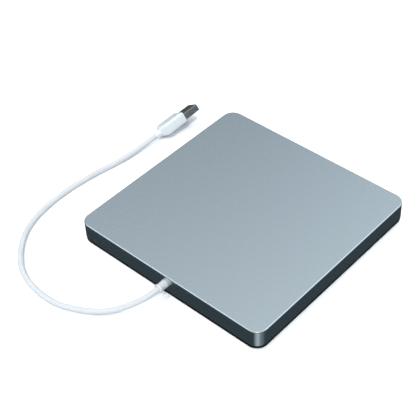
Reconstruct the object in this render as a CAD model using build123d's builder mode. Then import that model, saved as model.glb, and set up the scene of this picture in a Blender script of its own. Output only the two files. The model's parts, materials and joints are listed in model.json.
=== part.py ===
from build123d import *
from math import asin, cos, pi, radians, sin, tan
import os

# External slot-load optical drive with a short captive cable. Millimetres, +Z up.
# The origin is the bottom centre of the casing. The disc slot faces -Y and the cable leaves the +Y face.
# Pieces of the tilting traverse are drawn on the plane "deck": x runs from its pivot to the spindle,
# y across it, z up, and the plane is tipped down to the parked position in which the disc can enter.

# ---------------------------------------------------------------- driving dimensions
case_side = 139.0
case_corner = 7.5
case_height = 14.6
foot_drop = 0.7
base_edge = 2.6
base_floor = 1.9
base_inset = 0.2
cover_wall = 1.2
edge_round = 0.7
case_screw_at = 64.4

slot_width = 122.0
slot_height = 4.4
slot_z = 10.1

chassis_half = 63.5
chassis_front = -66.0
chassis_rear = 58.5
chassis_corner = 7.0
chassis_bottom = 3.5
sheet = 0.7
chassis_wall = 0.9
lid_bottom = 12.4
lid_sheet = 0.6

hub_y = -3.8
sled_angle = 43.0
pivot_arm = 70.0
pivot_z = 7.65
hub_lift = 2.6
slider_travel = 18.0
sled_travel = 33.0
inner_track = 24.0

gear_module = 0.5
running_gap = 0.06
shaft_gap = 0.05

cable_diameter = 3.5
exit_x = -0.5
exit_z = 8.4
relief_radius = 2.6
relief_reach = 6.0

# The joint is where the metal shell leaves the overmould.
plug_joint = (95.3, -47.1, 8.45)
plug_yaw = -5.0
plug_rise = 8.0
plug_roll = 35.0
plug_width = 13.2
plug_thickness = 7.6
plug_length = 18.5
plug_boot_length = 4.5
shell_width = 12.0
shell_thickness = 4.5
shell_length = 12.0

# ---------------------------------------------------------------- derived levels and places
cover_bottom = foot_drop + base_edge
inner_top = case_height - cover_wall
inner_floor = foot_drop + base_floor
inner_half = case_side / 2 - cover_wall
rear_face = case_side / 2
floor_top = chassis_bottom + sheet
chassis_mid_y = (chassis_front + chassis_rear) / 2
chassis_length = chassis_rear - chassis_front
lid_top = lid_bottom + lid_sheet
slot_bottom = slot_z - slot_height / 2

sled_x = cos(radians(sled_angle))
sled_y = sin(radians(sled_angle))
tilt = asin(hub_lift / pivot_arm)
pivot_x = pivot_arm * sled_x
pivot_y = hub_y + pivot_arm * sled_y

# "plan" is the level version of the deck plane, at z = 0.
plan = Plane(origin=(pivot_x, pivot_y, 0), x_dir=(-sled_x, -sled_y, 0), z_dir=(0, 0, 1))
deck = Plane(
    origin=(pivot_x, pivot_y, pivot_z),
    x_dir=(-sled_x * cos(tilt), -sled_y * cos(tilt), -sin(tilt)),
    z_dir=(-sled_x * sin(tilt), -sled_y * sin(tilt), cos(tilt)),
)


def level(height):
    """A level sketch plane at the given height."""
    return Plane.XY.offset(height)


def along_y(x, y, z):
    """A sketch plane whose normal points to +Y."""
    return Plane(origin=(x, y, z), x_dir=(1, 0, 0), z_dir=(0, 1, 0))


def at(frame, x, y, z):
    """A plane parallel to a frame, with its origin at a point given in that frame."""
    return Plane(origin=frame.from_local_coords((x, y, z)), x_dir=frame.x_dir, z_dir=frame.z_dir)


def facing_x(frame, x, y, z):
    """A sketch plane at a point of a frame, with its normal along the frame's x."""
    return Plane(origin=frame.from_local_coords((x, y, z)), x_dir=frame.y_dir, z_dir=frame.x_dir)


def facing_y(frame, x, y, z):
    """A sketch plane at a point of a frame, with its normal along the frame's y."""
    return Plane(origin=frame.from_local_coords((x, y, z)), x_dir=-frame.x_dir, z_dir=frame.y_dir)


def disc(plane, radius, height, mode=Mode.ADD):
    """A round boss, pin or hole that starts on a plane."""
    with BuildSketch(plane) as profile:
        Circle(radius)
    extrude(profile.sketch, amount=height, mode=mode)


def ring(plane, outer, inner, height):
    """A ring that starts on a plane."""
    with BuildSketch(plane) as profile:
        Circle(outer)
        Circle(inner, mode=Mode.SUBTRACT)
    extrude(profile.sketch, amount=height)


def slab(plane, length, width, height, mode=Mode.ADD):
    """A rectangular block, centred on a plane's origin and starting on the plane."""
    with BuildSketch(plane) as profile:
        Rectangle(length, width)
    extrude(profile.sketch, amount=height, mode=mode)


def screw(plane, head_radius, head_height, shank_radius, shank_length):
    """A cross-head screw: the plane lies under its head, with its normal out of the head."""
    disc(plane, head_radius, head_height)
    disc(plane, shank_radius, -shank_length)
    slot_depth = head_height * 0.5
    cross = plane.offset(head_height - slot_depth)
    slab(cross, head_radius * 1.1, head_radius * 0.25, head_height, Mode.SUBTRACT)
    slab(cross, head_radius * 0.25, head_radius * 1.1, head_height, Mode.SUBTRACT)


def tooth(root, tip):
    """One tapered tooth that points along x, from its root to its tip, both measured from here."""
    pitch = pi * gear_module
    Polygon((root, -0.29 * pitch), (tip, -0.11 * pitch), (tip, 0.11 * pitch), (root, 0.29 * pitch), align=None)


def gear(plane, teeth, height):
    """A spur gear with a tooth on the plane's x axis."""
    pitch_radius = gear_module * teeth / 2
    with BuildSketch(plane) as profile:
        Circle(pitch_radius - 1.1 * gear_module)
        with PolarLocations(pitch_radius, teeth):
            tooth(-1.3 * gear_module, 0.8 * gear_module)
    extrude(profile.sketch, amount=height)


def finish(builder, label):
    """Name a finished piece and write it."""
    builder.part.label = label
    export_step(builder.part, f"parts/{label}.step")


def case_screw_places():
    return GridLocations(2 * case_screw_at, 2 * case_screw_at, 2, 2)


def foot_places():
    return GridLocations(2 * foot_at, 2 * foot_at, 2, 2)


os.makedirs("parts", exist_ok=True)

# ---------------------------------------------------------------- casing
case_screw_hole = 0.8
case_boss = 2.4
case_screw_head = 1.6
head_pocket = 1.0
foot_at = 55.0
foot_radius = 6.0
foot_recess = 0.5
base_rim = 2.6
base_chamfer = 0.6
exit_hole = relief_radius + shaft_gap
bracket_screw_x = 66.3
bracket_screw_y = 24.0
bracket_foot_z = 3.9
bracket_boss = 1.5
bracket_hole = 0.6

with BuildPart() as top_cover:
    with BuildSketch(level(cover_bottom)):
        RectangleRounded(case_side, case_side, case_corner)
    extrude(amount=case_height - cover_bottom)
    fillet(top_cover.faces().sort_by(Axis.Z)[-1].edges(), edge_round)
    with BuildSketch(level(cover_bottom)):
        RectangleRounded(2 * inner_half, 2 * inner_half, case_corner - cover_wall)
    extrude(amount=inner_top - cover_bottom, mode=Mode.SUBTRACT)
    with BuildSketch(level(cover_bottom)):
        with case_screw_places():
            Circle(case_boss)
    extrude(amount=inner_top - cover_bottom)
    with BuildSketch(level(cover_bottom)):
        with case_screw_places():
            Circle(case_screw_hole)
    extrude(amount=inner_top - cover_bottom - cover_wall, mode=Mode.SUBTRACT)
    with BuildSketch(along_y(0, -case_side / 2 - 1, slot_z)):
        RectangleRounded(slot_width, slot_height, slot_height * 0.2)
    extrude(amount=cover_wall + 2, mode=Mode.SUBTRACT)
    disc(along_y(exit_x, inner_half - 1, exit_z), exit_hole, cover_wall + 2, Mode.SUBTRACT)
finish(top_cover, "top_cover")

with BuildPart() as base_plate:
    with BuildSketch(level(foot_drop)):
        RectangleRounded(case_side - 2 * base_inset, case_side - 2 * base_inset, case_corner - base_inset)
    extrude(amount=base_edge)
    chamfer(base_plate.faces().sort_by(Axis.Z)[0].edges(), base_chamfer)
    with BuildSketch(level(inner_floor)):
        RectangleRounded(case_side - 2 * base_rim, case_side - 2 * base_rim, case_corner - base_rim)
    extrude(amount=base_edge, mode=Mode.SUBTRACT)
    with BuildSketch(level(inner_floor)):
        with case_screw_places():
            Circle(case_boss + 0.8)
    extrude(amount=cover_bottom - inner_floor)
    with BuildSketch(level(inner_floor)):
        with GridLocations(2 * bracket_screw_x, 2 * bracket_screw_y, 2, 2):
            Circle(bracket_boss)
    extrude(amount=bracket_foot_z - inner_floor)
    with BuildSketch(level(foot_drop)):
        with foot_places():
            Circle(foot_radius + 0.2)
    extrude(amount=foot_recess, mode=Mode.SUBTRACT)
    with BuildSketch(level(foot_drop)):
        with case_screw_places():
            Circle(case_screw_head + 0.1)
    extrude(amount=head_pocket, mode=Mode.SUBTRACT)
    with BuildSketch(level(foot_drop)):
        with case_screw_places():
            Circle(case_screw_hole + 0.1)
    extrude(amount=base_edge, mode=Mode.SUBTRACT)
    with BuildSketch(level(inner_floor - 0.4)):
        with GridLocations(2 * bracket_screw_x, 2 * bracket_screw_y, 2, 2):
            Circle(bracket_hole)
    extrude(amount=base_edge, mode=Mode.SUBTRACT)
finish(base_plate, "base_plate")

with BuildPart() as rubber_feet:
    with BuildSketch(level(0)):
        with foot_places():
            Circle(foot_radius)
    extrude(amount=foot_drop + foot_recess)
    chamfer(rubber_feet.edges().group_by(Axis.Z)[0], 0.4)
finish(rubber_feet, "rubber_feet")

with BuildPart() as base_screws:
    for sx in (-1, 1):
        for sy in (-1, 1):
            seat = Plane(
                origin=(sx * case_screw_at, sy * case_screw_at, foot_drop + head_pocket),
                x_dir=(1, 0, 0),
                z_dir=(0, 0, -1),
            )
            screw(seat, case_screw_head, 0.9, case_screw_hole - 0.02, 6.0)
finish(base_screws, "base_screws")

# The felt frame behind the slot keeps dust out and wipes the disc.
gasket_front = -inner_half
gasket_depth = 1.4
with BuildPart() as slot_gasket:
    with BuildSketch(along_y(0, gasket_front, slot_z)):
        Rectangle(slot_width + 2, slot_height + 1.8)
        Rectangle(slot_width - 0.6, slot_height, mode=Mode.SUBTRACT)
    extrude(amount=gasket_depth)
finish(slot_gasket, "slot_gasket")

# ---------------------------------------------------------------- mechanism frame
lid_screw_x = 61.9
lid_screw_rows = (-55.0, -6.0, 45.0)
lid_boss = 1.1
lid_hole = 0.5
lid_window = 17.0
lid_screw_head = 1.1
connector_x = -20.0
connector_width = 22.0
lever_posts_at = ((57.0, 49.0), (-57.0, 52.0))
lever_post_radius = 1.2


def tray_outline(inset):
    """The chassis outline with its clipped corners, moved in by an even margin."""
    width = 2 * (chassis_half - inset)
    length = chassis_length - 2 * inset
    with Locations((0, chassis_mid_y)):
        tray = Rectangle(width, length)
    chamfer(tray.vertices(), chassis_corner - inset * (2 - 2 ** 0.5))


def lid_screw_places():
    return Locations(*[(side * lid_screw_x, y) for side in (-1, 1) for y in lid_screw_rows])


# Traverse sizes that the chassis has to leave room for.
deck_left = -25.0
deck_right = 20.0
pin_radius = 1.0
ramp_x = 89.5
ramp_width = 3.0
rack_line = 99.4
slider_pinion_teeth = 16
slider_wheel_teeth = 34
idler_teeth = 46
worm_gear_pinion_teeth = 12
slider_gear_y = -28.0
worm_wheel_teeth = 24
worm_wheel_tip = gear_module * worm_wheel_teeth / 2 + 0.8 * gear_module
worm_radius = 2.0
worm_z = 7.4
post_radius = 0.9

slider_gear_x = rack_line + gear_module * slider_pinion_teeth / 2 + 0.03
slider_gear_at = plan.from_local_coords((slider_gear_x, slider_gear_y, 0))
idler_distance = gear_module * (slider_wheel_teeth + idler_teeth) / 2 + running_gap
worm_gear_distance = gear_module * (idler_teeth + worm_gear_pinion_teeth) / 2 + running_gap
train_angle = 98.0
train_x = cos(radians(train_angle))
train_y = sin(radians(train_angle))
idler_at = Vector(slider_gear_at.X + idler_distance * train_x, slider_gear_at.Y + idler_distance * train_y, 0)
worm_gear_at = Vector(idler_at.X + worm_gear_distance * train_x, idler_at.Y + worm_gear_distance * train_y, 0)
worm_x = worm_gear_at.X - worm_wheel_tip - worm_radius - running_gap

guide_post_x = 95.3
guide_post_rows = (-16.0, 20.0)
pivot_block = 5.0
pivot_block_depth = 4.4
opening_margin = 2.0
deck_opening_start = 10.0
deck_opening_end = 88.0
ramp_opening = 5.8
ramp_opening_length = 70.0
connector_window = 4.6
connector_window_z = 6.9
front_cut = chassis_corner + 1.5

with BuildPart() as drive_chassis:
    with BuildSketch(level(chassis_bottom)):
        tray_outline(0)
    extrude(amount=lid_bottom - chassis_bottom)
    with BuildSketch(level(floor_top)):
        tray_outline(chassis_wall)
    extrude(amount=lid_bottom - floor_top, mode=Mode.SUBTRACT)
    # The front wall is low, so that the disc passes over it.
    slab(along_y(0, chassis_front - 1, (slot_bottom + lid_bottom) / 2), slot_width, lid_bottom - slot_bottom,
         front_cut, Mode.SUBTRACT)
    # Floor openings under the sled and the lift ramps.
    slab(at(plan, (deck_opening_start + deck_opening_end) / 2, (deck_left + deck_right) / 2, 0),
         deck_opening_end - deck_opening_start, deck_right - deck_left + 2 * opening_margin, floor_top + 1,
         Mode.SUBTRACT)
    slab(at(plan, ramp_x, 1, 0), ramp_opening, ramp_opening_length, floor_top + 1, Mode.SUBTRACT)
    # Window for the rear connector.
    slab(along_y(connector_x, chassis_rear - 2, connector_window_z), connector_width + 1, connector_window, 4,
         Mode.SUBTRACT)
    # Pivot block of the traverse.
    slab(at(plan, 0, 0, floor_top), pivot_block_depth, 2 * pivot_block, pivot_z - floor_top + 1.7)
    disc(facing_y(plan, 0, -pivot_block - 1, pivot_z), pin_radius + shaft_gap, 2 * pivot_block + 2,
         Mode.SUBTRACT)
    # Bosses for the lid screws, joined to the side walls.
    with BuildSketch(level(floor_top)):
        with lid_screw_places():
            Circle(lid_boss)
    extrude(amount=lid_bottom - floor_top)
    with BuildSketch(level(lid_bottom)):
        with lid_screw_places():
            Circle(lid_hole)
    extrude(amount=-5, mode=Mode.SUBTRACT)
finish(drive_chassis, "drive_chassis")

with BuildPart() as drive_lid:
    with BuildSketch(level(lid_bottom)):
        tray_outline(0)
        with Locations((0, hub_y)):
            Circle(lid_window, mode=Mode.SUBTRACT)
        with lid_screw_places():
            Circle(lid_hole + 0.1, mode=Mode.SUBTRACT)
    extrude(amount=lid_sheet)
finish(drive_lid, "drive_lid")

with BuildPart() as lid_screws:
    for side in (-1, 1):
        for y in lid_screw_rows:
            screw(at(Plane.XY, side * lid_screw_x, y, lid_top), lid_screw_head, 0.3, lid_hole - 0.02, 4.0)
finish(lid_screws, "lid_screws")

bracket_sheet = 0.8
bracket_length = 60.0
bracket_height = 6.0
bracket_flange = 4.6
with BuildPart() as mounting_brackets:
    for side in (-1, 1):
        slab(at(Plane.XY, side * (chassis_half + bracket_sheet / 2), 0, bracket_foot_z), bracket_sheet,
             bracket_length, bracket_height)
        slab(at(Plane.XY, side * (chassis_half + bracket_flange / 2), 0, bracket_foot_z), bracket_flange,
             bracket_length, bracket_sheet)
    with BuildSketch(level(bracket_foot_z)):
        with GridLocations(2 * bracket_screw_x, 2 * bracket_screw_y, 2, 2):
            Circle(bracket_hole + 0.1)
    extrude(amount=bracket_sheet, mode=Mode.SUBTRACT)
finish(mounting_brackets, "mounting_brackets")

with BuildPart() as bracket_screws:
    for side in (-1, 1):
        for y in (-bracket_screw_y, bracket_screw_y):
            seat = at(Plane.XY, side * bracket_screw_x, y, bracket_foot_z + bracket_sheet)
            screw(seat, 1.2, 0.8, bracket_hole - 0.02, 2.2)
finish(bracket_screws, "bracket_screws")

lever_collar_top = 11.1
with BuildPart() as lever_posts:
    for x, y in lever_posts_at:
        disc(at(Plane.XY, x, y, floor_top), lever_post_radius + 0.8, lever_collar_top - floor_top)
        disc(at(Plane.XY, x, y, floor_top), lever_post_radius, lid_bottom - floor_top)
finish(lever_posts, "lever_posts")

# ---------------------------------------------------------------- traverse
deck_sheet = 1.0
deck_top = deck_sheet / 2
rail_radius = 0.9
rail_z = -deck_top - rail_radius
main_rail_y = -13.0
sub_rail_y = 12.0
rail_start = 1.0
rail_end = 58.0
screw_y = -18.0
screw_z = -0.15
screw_radius = 1.0
tongue_rows = (-11.5, 11.5)
tongue_width = 2.4
tongue_end = 90.6
carriage_x = pivot_arm - inner_track
carriage_half = 7.5
opening_start = carriage_x - sled_travel - carriage_half - 0.7
opening_end = carriage_x + carriage_half + 1.5
opening_left = -20.5
opening_right = 14.5
motor_notch_centre = (63.0, -18.1)
motor_notch = (17.0, 4.8)
deck_front = 87.0
lug_gap = 0.4
lug_thickness = 3.0
lug_radius = 1.8
clip_places = (2.0, 56.8)
clip_length = 2.0
clip_width = 3.4
deck_outline = (
    (-2.4, -8.4), (-2.4, 8.4), (1, 15), (9, deck_right), (78, deck_right), (deck_front, 14), (deck_front, -14),
    (76, deck_left), (9, deck_left), (1, -15),
)
rotor_radius = 12.0
spindle_bore = 0.75
seat_z = 2.15

with BuildPart() as traverse_deck:
    with BuildSketch(deck.offset(-deck_top)):
        with BuildLine():
            Polyline(*deck_outline, close=True)
        make_face()
        with Locations(((opening_start + opening_end) / 2, (opening_left + opening_right) / 2)):
            Rectangle(opening_end - opening_start, opening_right - opening_left, mode=Mode.SUBTRACT)
        with Locations(motor_notch_centre):
            Rectangle(*motor_notch, mode=Mode.SUBTRACT)
        Rectangle(pivot_block_depth + 2 * lug_gap, 2 * (pivot_block + lug_gap), mode=Mode.SUBTRACT)
        with Locations((pivot_arm, 0)):
            Circle(rotor_radius + 0.4, mode=Mode.SUBTRACT)
    extrude(amount=deck_sheet)
    for y in tongue_rows:
        slab(at(deck, (deck_front - 1 + tongue_end) / 2, y, -deck_top), tongue_end - deck_front + 1,
             tongue_width, deck_sheet)
    # Pivot lugs.
    for y in (-pivot_block - lug_gap - lug_thickness, pivot_block + lug_gap):
        disc(facing_y(deck, 0, y, 0), lug_radius, lug_thickness)
    disc(facing_y(deck, 0, -9, 0), pin_radius, 18, Mode.SUBTRACT)
    # Clips that hold the two rails under the deck.
    for y in (main_rail_y, sub_rail_y):
        for x in clip_places:
            slab(at(deck, x, y, -deck_top), clip_length, clip_width, rail_z - 0.6)
        disc(facing_x(deck, rail_start, y, rail_z), rail_radius, rail_end - rail_start, Mode.SUBTRACT)
    # Bearing block of the lead screw.
    slab(at(deck, 3.2, screw_y, screw_z - 1.4), 2.0, 3.0, 2.8)
    disc(facing_x(deck, 1, screw_y, screw_z), 0.5 + shaft_gap, 4, Mode.SUBTRACT)
finish(traverse_deck, "traverse_deck")

with BuildPart() as traverse_pivot_pin:
    pin_half = pivot_block + lug_gap + lug_thickness
    disc(facing_y(deck, 0, -pin_half, 0), pin_radius, 2 * pin_half)
finish(traverse_pivot_pin, "traverse_pivot_pin")

for rail_name, rail_y in (("main_guide_rail", main_rail_y), ("sub_guide_rail", sub_rail_y)):
    with BuildPart() as guide_rail:
        disc(facing_x(deck, rail_start, rail_y, rail_z), rail_radius, rail_end - rail_start)
        chamfer(guide_rail.edges(), 0.15)
    finish(guide_rail, rail_name)

# ---------------------------------------------------------------- spindle
hub = at(deck, pivot_arm, 0, 0)
base_disc = 15.0
base_sheet = 0.6
sleeve_outer = 3.0
with BuildPart() as spindle_base:
    ring(hub.offset(-deck_top - base_sheet), base_disc, sleeve_outer, base_sheet)
    ring(hub.offset(-1.7), sleeve_outer, spindle_bore, 2.2)
finish(spindle_base, "spindle_base")

coil_count = 9
stator_sheet = 0.7
with BuildPart() as stator_core:
    ring(hub.offset(-deck_top), 4.8, sleeve_outer, stator_sheet)
    with BuildSketch(hub.offset(-deck_top)):
        with PolarLocations(6.8, coil_count):
            Rectangle(4.4, 1.5)
        with PolarLocations(9.2, coil_count):
            Rectangle(1.2, 4.6)
    extrude(amount=stator_sheet)
finish(stator_core, "stator_core")

with BuildPart() as spindle_rotor:
    disc(hub.offset(0.7), rotor_radius, 0.5)
    ring(hub.offset(-0.3), rotor_radius, 10.6, 1.0)
    disc(hub.offset(-1.6), spindle_bore - shaft_gap, 2.5)
finish(spindle_rotor, "spindle_rotor")

nose_radius = 7.4
nose_height = 1.9
claw_at = 6.7
pad_inner = 10.0
pad_outer = 12.6
pad_depth = 0.4
turntable_bottom = 1.2
with BuildPart() as turntable:
    disc(hub.offset(turntable_bottom), 13.0, seat_z - turntable_bottom)
    disc(hub.offset(seat_z), nose_radius, nose_height)
    chamfer(turntable.edges().filter_by(GeomType.CIRCLE).sort_by(Axis((0, 0, 0), deck.z_dir))[-1], 0.5)
    with BuildSketch(hub.offset(seat_z)):
        with PolarLocations(claw_at, 3):
            Rectangle(2.4, 2.6)
    extrude(amount=nose_height, mode=Mode.SUBTRACT)
    with BuildSketch(hub.offset(seat_z - pad_depth)):
        Circle(pad_outer)
        Circle(pad_inner, mode=Mode.SUBTRACT)
    extrude(amount=1, mode=Mode.SUBTRACT)
finish(turntable, "turntable")

with BuildPart() as turntable_pad:
    ring(hub.offset(seat_z - pad_depth), pad_outer, pad_inner, pad_depth + 0.05)
finish(turntable_pad, "turntable_pad")

with BuildPart() as hub_claws:
    with BuildSketch(hub.offset(seat_z)):
        with PolarLocations(claw_at, 3):
            Rectangle(2.0, 2.4)
    extrude(amount=nose_height - 0.6)
finish(hub_claws, "hub_claws")

# ---------------------------------------------------------------- pickup
carriage_bottom = -2.5
carriage_top = 0.5
carriage_width = 20.5
tooth_root = -14.6
sleeve_radius = 1.4
lens_pocket = 1.5
pickup = at(deck, carriage_x, 0, 0)
with BuildPart() as pickup_carriage:
    slab(at(pickup, 0, -0.75, carriage_bottom), 2 * carriage_half, carriage_width,
         carriage_top - carriage_bottom)
    chamfer(pickup_carriage.edges().filter_by(Axis((0, 0, 0), deck.z_dir)), 2.0)
    slab(at(pickup, 0, 11.5, carriage_bottom), 6.0, 5.0, carriage_top - carriage_bottom)
    slab(at(pickup, 0, -12.6, rail_z), 6.0, 4.0, carriage_top - rail_z)
    disc(facing_x(pickup, -carriage_half, main_rail_y, rail_z), sleeve_radius, 2 * carriage_half)
    slab(at(pickup, 0, -11.6, rail_z - 0.8), 2 * carriage_half, 1.8, 1.6)
    disc(facing_x(pickup, -10, main_rail_y, rail_z), rail_radius + shaft_gap, 20, Mode.SUBTRACT)
    slab(at(pickup, 0, sub_rail_y + 1.2, rail_z - rail_radius - shaft_gap), 20, 4.4,
         2 * (rail_radius + shaft_gap), Mode.SUBTRACT)
    slab(at(pickup, 0, 0, carriage_top - lens_pocket), 8.4, 7.0, 2, Mode.SUBTRACT)
finish(pickup_carriage, "pickup_carriage")

lens_radius = 2.0
with BuildPart() as lens_holder:
    slab(at(pickup, 0, 0, -0.5), 7.2, 5.6, 1.0)
    disc(pickup, lens_radius + 0.5, 0.9)
    disc(pickup.offset(-1), lens_radius, 3, Mode.SUBTRACT)
finish(lens_holder, "lens_holder")

with BuildPart() as objective_lens:
    disc(pickup.offset(-0.2), lens_radius - 0.02, 0.8)
    fillet(objective_lens.edges().filter_by(GeomType.CIRCLE).sort_by(Axis((0, 0, 0), deck.z_dir))[-1], 0.6)
finish(objective_lens, "objective_lens")

tooth_gap = 0.06
with BuildPart() as follower_tooth:
    tooth_tip = screw_y + screw_radius + tooth_gap
    slab(at(pickup, 0, (tooth_tip + tooth_root) / 2, screw_z - 0.6), 5.0, tooth_root - tooth_tip, 1.2)
finish(follower_tooth, "follower_tooth")

# The lead screw's thread is drawn as rings of the same pitch.
screw_pitch = 3.0
screw_turns = 16
screw_start = 4.9
thread_start = 6.5
thread_depth = 0.25
thread_gap = 1.2
journal_radius = 0.5
motor_front = 58.5
motor_length = 12.0
motor_radius = 1.9
with BuildPart() as lead_screw:
    disc(facing_x(deck, screw_start, screw_y, screw_z), screw_radius, motor_front - screw_start - 0.1)
    disc(facing_x(deck, 2.3, screw_y, screw_z), journal_radius, 2.7)
    for turn in range(screw_turns):
        groove = facing_x(deck, thread_start + turn * screw_pitch, screw_y, screw_z)
        with BuildSketch(groove) as profile:
            Circle(screw_radius + 0.2)
            Circle(screw_radius - thread_depth, mode=Mode.SUBTRACT)
        extrude(profile.sketch, amount=thread_gap, mode=Mode.SUBTRACT)
finish(lead_screw, "lead_screw")

with BuildPart() as sled_motor:
    disc(facing_x(deck, motor_front, screw_y, screw_z), motor_radius, motor_length)
    disc(facing_x(deck, motor_front, screw_y, screw_z), 1.1, 0.15, Mode.SUBTRACT)
    slab(at(deck, motor_front + 0.3, screw_y, -deck_top - 0.5), 0.6, 7.6, 0.5)
finish(sled_motor, "sled_motor")

# ---------------------------------------------------------------- cam slider and loading gears
slider_sheet = 0.8
slider_bottom = 4.4
ramp_bottom = 2.85
ramp_low = 3.4
ramp_high = ramp_low + ramp_x * hub_lift / pivot_arm
ramp_start = 14.0
dwell = 1.5
rear_row, front_row = tongue_rows
web_x = ramp_x + ramp_width / 2
plate_inner = web_x + 0.6
rack_root = rack_line - 1.1 * gear_module
tail_inner = plate_inner + 2.9
plate_start = -52.0
plate_step = -38.0
plate_end = 24.0
guide_slot_length = slider_travel + 0.3
rack_pitch = pi * gear_module
rack_teeth = 15

with BuildPart() as cam_slider:
    # Two ramps lift the traverse's tongues as the slider moves.
    with BuildSketch(facing_x(plan, ramp_x - ramp_width / 2, 0, 0)):
        with BuildLine():
            Polyline(
                (ramp_start, ramp_bottom),
                (rear_row - slider_travel - dwell, ramp_bottom),
                (rear_row - slider_travel - dwell, ramp_high),
                (rear_row - slider_travel, ramp_high),
                (rear_row, ramp_low),
                (front_row - slider_travel - dwell, ramp_low),
                (front_row - slider_travel - dwell, ramp_high),
                (front_row - slider_travel, ramp_high),
                (front_row, ramp_low),
                (ramp_start, ramp_low),
                close=True,
            )
        make_face()
    extrude(amount=ramp_width)
    web_start = rear_row - slider_travel - dwell
    slab(at(plan, web_x + 0.3, (web_start + ramp_start) / 2, ramp_bottom), 0.8, ramp_start - web_start,
         slider_bottom + slider_sheet - ramp_bottom)
    # Flat plate with its guide slots and the rack along its outer edge.
    slab(at(plan, (plate_inner + rack_root) / 2, (plate_step + plate_end) / 2, slider_bottom),
         rack_root - plate_inner, plate_end - plate_step, slider_sheet)
    slab(at(plan, (tail_inner + rack_root) / 2, (plate_start + plate_step) / 2, slider_bottom),
         rack_root - tail_inner, plate_step - plate_start, slider_sheet)
    with BuildSketch(at(plan, guide_post_x, -slider_travel / 2, slider_bottom)):
        with Locations(*[(0, row) for row in guide_post_rows]):
            SlotCenterToCenter(guide_slot_length, 2 * (post_radius + running_gap), rotation=90)
    extrude(amount=slider_sheet, mode=Mode.SUBTRACT)
    with BuildSketch(at(plan, rack_line, slider_gear_y + 3 * rack_pitch, slider_bottom)):
        with Locations(*[(0, -row * rack_pitch) for row in range(rack_teeth)]):
            tooth(-1.3 * gear_module, 0.8 * gear_module)
    extrude(amount=slider_sheet)
finish(cam_slider, "cam_slider")

with BuildPart() as slider_posts:
    for row in guide_post_rows:
        disc(at(plan, guide_post_x, row, floor_top), post_radius, 1.4)
        disc(at(plan, guide_post_x, row, slider_bottom + slider_sheet + 0.1), post_radius + 0.7, 0.4)
finish(slider_posts, "slider_posts")

wheel_bottom = 5.9
wheel_height = 1.0
gear_bottom = 4.4
gear_collar = 1.9
worm_wheel_bottom = 7.0
worm_wheel_height = 0.75
gear_bore = post_radius + shaft_gap


def gear_plane(place, height, angle):
    """A level plane on a gear's axis, with its x axis at an angle from +X."""
    return Plane(origin=(place.X, place.Y, height), x_dir=(cos(radians(angle)), sin(radians(angle)), 0))


with BuildPart() as slider_gear:
    half_tooth = 180 / slider_pinion_teeth
    gear(gear_plane(slider_gear_at, gear_bottom, sled_angle + half_tooth), slider_pinion_teeth, 1.3)
    gear(gear_plane(slider_gear_at, wheel_bottom, train_angle), slider_wheel_teeth, wheel_height)
    disc(gear_plane(slider_gear_at, gear_bottom, 0), 2.5, wheel_bottom - gear_bottom)
    disc(gear_plane(slider_gear_at, gear_bottom, 0), gear_bore, 3, Mode.SUBTRACT)
finish(slider_gear, "slider_gear")

with BuildPart() as idler_gear:
    gear(gear_plane(idler_at, wheel_bottom, train_angle + 180 / idler_teeth), idler_teeth, wheel_height)
    disc(gear_plane(idler_at, gear_bottom, 0), gear_collar, wheel_bottom - gear_bottom)
    with BuildSketch(gear_plane(idler_at, wheel_bottom, 0)):
        with PolarLocations(6.5, 6):
            Circle(1.8)
    extrude(amount=wheel_height, mode=Mode.SUBTRACT)
    disc(gear_plane(idler_at, gear_bottom, 0), gear_bore, 3, Mode.SUBTRACT)
finish(idler_gear, "idler_gear")

with BuildPart() as worm_gear:
    disc(gear_plane(worm_gear_at, gear_bottom, 0), gear_collar, wheel_bottom - gear_bottom)
    gear(gear_plane(worm_gear_at, wheel_bottom, train_angle), worm_gear_pinion_teeth,
         worm_wheel_bottom - wheel_bottom)
    gear(gear_plane(worm_gear_at, worm_wheel_bottom, 0), worm_wheel_teeth, worm_wheel_height)
    disc(gear_plane(worm_gear_at, gear_bottom, 0), gear_bore, 4, Mode.SUBTRACT)
finish(worm_gear, "worm_gear")

with BuildPart() as gear_posts:
    disc(gear_plane(slider_gear_at, floor_top, 0), post_radius, wheel_bottom + wheel_height - floor_top + 0.3)
    disc(gear_plane(idler_at, floor_top, 0), post_radius, wheel_bottom + wheel_height - floor_top + 0.3)
    disc(gear_plane(worm_gear_at, floor_top, 0), post_radius, worm_wheel_bottom + 0.9 - floor_top)
finish(gear_posts, "gear_posts")

# The worm's thread is drawn as rings of the worm wheel's pitch.
worm_front = worm_gear_at.Y - 4.0
worm_length = 9.0
worm_turns = 5
worm_thread_depth = 0.5
motor_gap = 0.2
with BuildPart() as worm:
    disc(along_y(worm_x, worm_front, worm_z), worm_radius, worm_length)
    disc(along_y(worm_x, worm_front, worm_z), 0.5, worm_length + 2.0)
    for turn in range(worm_turns):
        groove = along_y(worm_x, worm_front + 1.0 + turn * rack_pitch, worm_z)
        with BuildSketch(groove) as profile:
            Circle(worm_radius + 0.2)
            Circle(worm_radius - worm_thread_depth, mode=Mode.SUBTRACT)
        extrude(profile.sketch, amount=0.75, mode=Mode.SUBTRACT)
finish(worm, "worm")

loading_motor_radius = 3.1
loading_motor_end = 49.2
motor_plate = 0.8
motor_plate_top = 10.8
motor_plate_at = worm_front + worm_length + motor_gap
with BuildPart() as motor_bracket:
    slab(along_y(worm_x, motor_plate_at, (floor_top + motor_plate_top) / 2), 6.6, motor_plate_top - floor_top,
         motor_plate)
    slab(at(Plane.XY, worm_x + 4.6, motor_plate_at + 2.5, floor_top), 5.0, 5.0, motor_plate)
    disc(along_y(worm_x, motor_plate_at - 1, worm_z), 0.9, 3, Mode.SUBTRACT)
    disc(at(Plane.XY, worm_x + 5.4, motor_plate_at + 3.2, floor_top), 0.7, 1, Mode.SUBTRACT)
finish(motor_bracket, "motor_bracket")

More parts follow.
